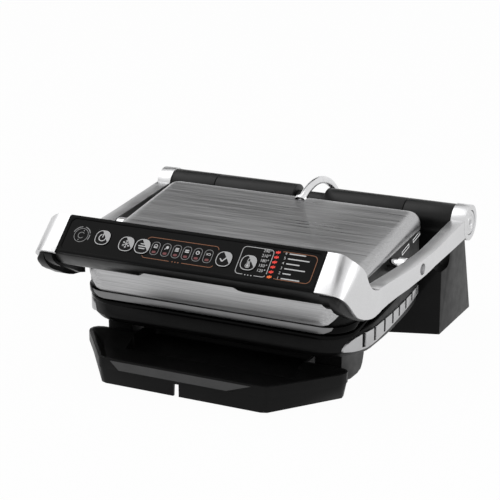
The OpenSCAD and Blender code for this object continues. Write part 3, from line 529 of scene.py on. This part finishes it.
bm = bmesh.new()
outline(bm, (67.5, 0), (31, 28.6), 4, 0.5, gaps=[(60.5, -16, 71.5, -13), (82, -16, 84, -10.5)])
for row, figures in zip(range(5), ("240", "210", "180", "150", "120")):
    numeral(bm, figures, (78.6, LIGHT_V[row] - 0.3), 4.2, "RIGHT")
    outline(bm, (79.9, LIGHT_V[row] + 0.9), (1.2, 1.2), 0.5, 0.3)
for row, length in zip(range(6), (16, 21, 13, 20, 8, 18)):
    numeral(bm, str(6 - row), (94.5, LIGHT_V[row] + 0.3), 3.8)
    bar(bm, (97.5, LIGHT_V[row] + 0.2), (97.5 + length, LIGHT_V[row] + 0.2), 1.1, 0.4)
for u in (63, 66, 69):
    disc(bm, (u, -14.3), 0.55, 12)
inked("panel_white_marks", bm, "lid_arms", WHITE_INK, PRINT_LIFT)

bm = bmesh.new()
for u in PILL_U:
    outline(bm, (u, PILL_V), (8.6, 13.8), 3.7, 0.5)
arc(bm, (-112.8, 0.5), 7.2, 0.55, 0, 360, 32)
arc(bm, (-112.8, 0.5), 9.0, 0.9, 20, 80)
arc(bm, (-112.8, 0.5), 9.0, 0.9, 100, 165)
arc(bm, (-112.8, 0.5), 9.0, 0.9, -25, 10)
arc(bm, (-112.8, 0.5), 3.1, 0.6, 40, 320)
for turn in (75, 255):
    disc(bm, (-112.8 + 5.2 * cos(radians(turn)), 0.5 + 5.2 * sin(radians(turn))), 0.6, 12)
inked("panel_grey_marks", bm, "lid_arms", GREY_INK, PRINT_LIFT)

# Foods as plain shapes: a bun, a drumstick, a sandwich, a sausage, a steak and a fish
bm = bmesh.new()
u = PILL_U[0]
arc(bm, (u, 0.6), 1.7, 0.6, 0, 180, 10)
bar(bm, (u - 2.1, 0.0), (u + 2.1, 0.0), 0.6, 0.2)
bar(bm, (u - 1.9, -1.0), (u + 1.9, -1.0), 0.8, 0.35)
u = PILL_U[1]
disc(bm, (u + 0.6, 0.9), 1.5, 16)
bar(bm, (u, 0.2), (u - 1.8, -1.4), 0.7, 0.3)
u = PILL_U[2]
bar(bm, (u - 1.9, 1.5), (u + 1.9, 1.5), 0.9, 0.3)
bar(bm, (u - 1.9, 0.1), (u + 1.9, 0.1), 0.9, 0.3)
bar(bm, (u - 1.9, -1.3), (u + 1.9, -1.3), 0.9, 0.3)
u = PILL_U[3]
bar(bm, (u - 2.1, 1.0), (u + 2.1, 1.0), 1.3, 0.6)
bar(bm, (u - 2.1, -0.8), (u + 2.1, -0.8), 1.3, 0.6)
u = PILL_U[4]
arc(bm, (u, 0.2), 1.6, 0.8, 0, 360, 16)
disc(bm, (u + 0.9, 0.8), 0.6, 10)
u = PILL_U[5]
outline(bm, (u + 0.4, 0.3), (3.6, 2.2), 1.05, 0.5)
bar(bm, (u - 1.2, 0.3), (u - 2.4, 1.4), 0.5, 0.2)
bar(bm, (u - 1.2, 0.3), (u - 2.4, -0.8), 0.5, 0.2)
inked("programme_marks", bm, "lid_arms", WHITE_INK, PRINT_LIFT)

bm = bmesh.new()
for u in PILL_U:
    bar(bm, (u - 2.0, -5.6), (u + 2.0, -5.6), 2.4, 1.0)
inked("programme_lights", bm, "lid_arms", DIM_LIGHT, PRINT_LIFT)

bm = bmesh.new()
outline(bm, (-7, -1.7), (74, 22.4), 4, 0.5,
        gaps=[(-56, -10.8, -37.4, 6.6), (-14.5, -14, -1.5, -12), (29.4, -11, 31, 6.2)])
outline(bm, (106.7, 0), (37.6, 28.6), 5, 0.55, gaps=[(86, -13.6, 91, 16)])
for u in (-11, -8, -5):
    disc(bm, (u, -12.7), 0.6, 12)
inked("panel_orange_marks", bm, "lid_arms", ORANGE_INK, PRINT_LIFT)

for name, rows, light in (("heat_lights", range(5), RED_LIGHT),
                          ("warming_light", [5], AMBER_LIGHT)):
    bm = bmesh.new()
    for row in rows:
        v = LIGHT_V[row]
        bar(bm, (LIGHT_U - 2.2, v), (LIGHT_U + 2.2, v), 1.5, 0.6)
        bar(bm, (LIGHT_U - 1.7, v - 1.2), (LIGHT_U + 0.3, v + 1.5), 0.9, 0.3)
        bar(bm, (LIGHT_U - 0.1, v - 1.5), (LIGHT_U + 1.9, v + 1.2), 0.9, 0.3)
    inked(name, bm, "lid_arms", light, PRINT_LIFT)

# ---- small parts -------------------------------------------------------------------

# Satin plate on the tray's sloping pull lip, its lighter grey painted light for the light on its
# upward slope:
# (left x, right x, y, z) of its long upper edge and of its lower one
LIP_TOP = (-75, 72, -178.9, 24.4)
LIP_LOW = (-63.5, 49, -182.6, 17.6)
LIP_THICKNESS = 0.5
LIP_ROUNDING = 0.15


def painted_lit_tray_lip():
    bm = bmesh.new()
    (top_left, top_right, top_y, top_z), (low_left, low_right, low_y, low_z) = LIP_TOP, LIP_LOW
    corners = [bm.verts.new(place) for place in (
        (top_left, top_y, top_z), (low_left, low_y, low_z),
        (low_right, low_y, low_z), (top_right, top_y, top_z))]
    plate = bm.faces.new(corners)
    grown = bmesh.ops.extrude_face_region(bm, geom=[plate], use_keep_orig=True)["geom"]
    outward = Vector((0, low_z - top_z, top_y - low_y)).normalized() * LIP_THICKNESS
    lifted = [g for g in grown if isinstance(g, bmesh.types.BMVert)]
    bmesh.ops.translate(bm, vec=outward, verts=lifted)
    bmesh.ops.recalc_face_normals(bm, faces=bm.faces)
    bmesh.ops.bevel(bm, geom=list(bm.edges), offset=LIP_ROUNDING, affect="EDGES", segments=2,
                    profile=0.5, material=-1)
    finished("painted_lit_tray_lip", bm, "tray", FINISHES["tray_lip"], MILLIMETRES)


painted_lit_tray_lip()

for side, way in (("left", -1), ("right", 1)):
    # domed cap in its groove at the end of the hinge; its six-sided socket is drawn as a round
    # recess
    bm = bmesh.new()
    face_x = ARM_X - 0.2
    lathe(bm, [(face_x - 1.6, 0), (face_x - 1.6, 12.0), (face_x - 0.5, 12.0), (face_x - 0.1, 11.5),
               (face_x, 10.8), (face_x, 8.4), (face_x - 0.5, 8.0), (face_x - 0.5, 7.2),
               (face_x, 6.8), (face_x + 0.1, 4.4), (face_x - 0.3, 4.0), (face_x - 0.3, 2.6),
               (face_x - 1.2, 2.4), (face_x - 1.2, 0)], (0, HINGE_Y, HINGE_Z))
    bmesh.ops.scale(bm, vec=(way, 1, 1), verts=bm.verts)
    bmesh.ops.recalc_face_normals(bm, faces=bm.faces)
    finished(f"boss_cap_{side}_form", bm, "lid_arms", FINISHES["satin_silver"], MILLIMETRES,
             replaces=[f"boss_cap_{side}"])
    # pivot screw; its crossed recess is drawn as a round one
    bm = bmesh.new()
    lathe(bm, [(150, 0), (150, 3.9), (162, 3.9), (162, 5.2), (164.2, 5.2), (164.9, 4.4),
               (165, 1.6), (164, 1.2), (164, 0)], (0, PIVOT_Y, PIVOT_Z))
    bmesh.ops.scale(bm, vec=(way, 1, 1), verts=bm.verts)
    bmesh.ops.recalc_face_normals(bm, faces=bm.faces)
    finished(f"pivot_screw_{side}", bm, "lid_arms", FINISHES["dark_steel"], MILLIMETRES)

# ---- light, floor and background ---------------------------------------------------

def white_for_camera(tree, plain, shown):
    """Mixes a plain shader with white where the camera, a mirror or glass looks at it."""
    path = tree.nodes.new("ShaderNodeLightPath")
    first = tree.nodes.new("ShaderNodeMath")
    first.operation = "MAXIMUM"
    tree.links.new(path.outputs["Is Camera Ray"], first.inputs[0])
    tree.links.new(path.outputs["Is Glossy Ray"], first.inputs[1])
    second = tree.nodes.new("ShaderNodeMath")
    second.operation = "MAXIMUM"
    tree.links.new(first.outputs[0], second.inputs[0])
    tree.links.new(path.outputs["Is Transmission Ray"], second.inputs[1])
    mix = tree.nodes.new("ShaderNodeMixShader")
    tree.links.new(second.outputs[0], mix.inputs["Fac"])
    tree.links.new(plain.outputs[0], mix.inputs[1])
    tree.links.new(shown.outputs[0], mix.inputs[2])
    return mix


def studio():
    world = bpy.data.worlds.new("studio")
    bpy.context.scene.world = world
    world.use_nodes = True
    tree = world.node_tree
    tree.nodes.clear()
    soft = tree.nodes.new("ShaderNodeBackground")
    soft.inputs["Color"].default_value = (1, 1, 1, 1)
    soft.inputs["Strength"].default_value = 0.5
    white = tree.nodes.new("ShaderNodeBackground")
    white.inputs["Color"].default_value = (1, 1, 1, 1)
    white.inputs["Strength"].default_value = 1.0
    output = tree.nodes.new("ShaderNodeOutputWorld")
    tree.links.new(white_for_camera(tree, soft, white).outputs[0], output.inputs["Surface"])

    bm = bmesh.new()
    bmesh.ops.create_grid(bm, x_segments=1, y_segments=1, size=6)
    mesh = bpy.data.meshes.new("floor")
    bm.to_mesh(mesh)
    bm.free()
    floor = bpy.data.objects.new("floor", mesh)
    bpy.context.scene.collection.objects.link(floor)
    pale = bpy.data.materials.new("floor")
    pale.use_nodes = True
    tree = pale.node_tree
    shader = tree.nodes["Principled BSDF"]
    shader.inputs["Base Color"].default_value = (0.9, 0.9, 0.9, 1)
    shader.inputs["Roughness"].default_value = 0.9
    shader.inputs["Specular IOR Level"].default_value = 0.1
    bright = tree.nodes.new("ShaderNodeEmission")
    bright.inputs["Strength"].default_value = 1.0
    half = tree.nodes.new("ShaderNodeMixShader")
    half.inputs["Fac"].default_value = 0.97
    tree.links.new(shader.outputs[0], half.inputs[1])
    tree.links.new(bright.outputs[0], half.inputs[2])
    mix = white_for_camera(tree, shader, half)
    tree.links.new(mix.outputs[0], tree.nodes["Material Output"].inputs["Surface"])
    mesh.materials.append(pale)


def softbox(name, location, target, size, power):
    """A rectangular lamp at location that faces target."""
    data = bpy.data.lights.new(name, "AREA")
    data.shape = "RECTANGLE"
    data.size, data.size_y = size
    data.energy = power
    lamp = bpy.data.objects.new(name, data)
    lamp.location = location
    lamp.rotation_euler = (Vector(target) - Vector(location)).to_track_quat("-Z", "Y").to_euler()
    bpy.context.scene.collection.objects.link(lamp)


def flag(name, location, target, size):
    """A black card that a photographer hangs beside the set, for dark bands in the metal."""
    bm = bmesh.new()
    turn = (Vector(target) - Vector(location)).to_track_quat("-Z", "Y").to_matrix().to_4x4()
    place = Matrix.Translation(location) @ turn @ Matrix.Diagonal((*size, 1, 1))
    bmesh.ops.create_grid(bm, x_segments=1, y_segments=1, size=0.5, matrix=place)
    mesh = bpy.data.meshes.new(name)
    bm.to_mesh(mesh)
    bm.free()
    card = bpy.data.objects.new(name, mesh)
    bpy.context.scene.collection.objects.link(card)
    black = bpy.data.materials.get("black_card") or bpy.data.materials.new("black_card")
    black.use_nodes = True
    shader = black.node_tree.nodes["Principled BSDF"]
    shader.inputs["Base Color"].default_value = (0.01, 0.01, 0.01, 1)
    shader.inputs["Specular IOR Level"].default_value = 0
    mesh.materials.append(black)
    card.visible_camera = False
    card.visible_shadow = False


studio()
softbox("top_box", (-0.7, -0.2, 1.4), (0, -0.05, 0.1), (1.3, 1.3), 7)
softbox("right_box", (1.5, 0.3, 0.7), (0.1, 0, 0.1), (0.9, 0.9), 5)
flag("rear_flag", (-0.55, 0.95, 0.75), (0, 0, 0.1), (0.8, 0.5))
flag("left_flag", (-1.3, -0.3, 0.35), (0, 0, 0.1), (0.7, 0.5))
flag("top_flag", (0.45, -0.35, 1.2), (0.15, -0.15, 0.1), (0.4, 0.6))

bpy.context.scene.view_settings.view_transform = "Standard"
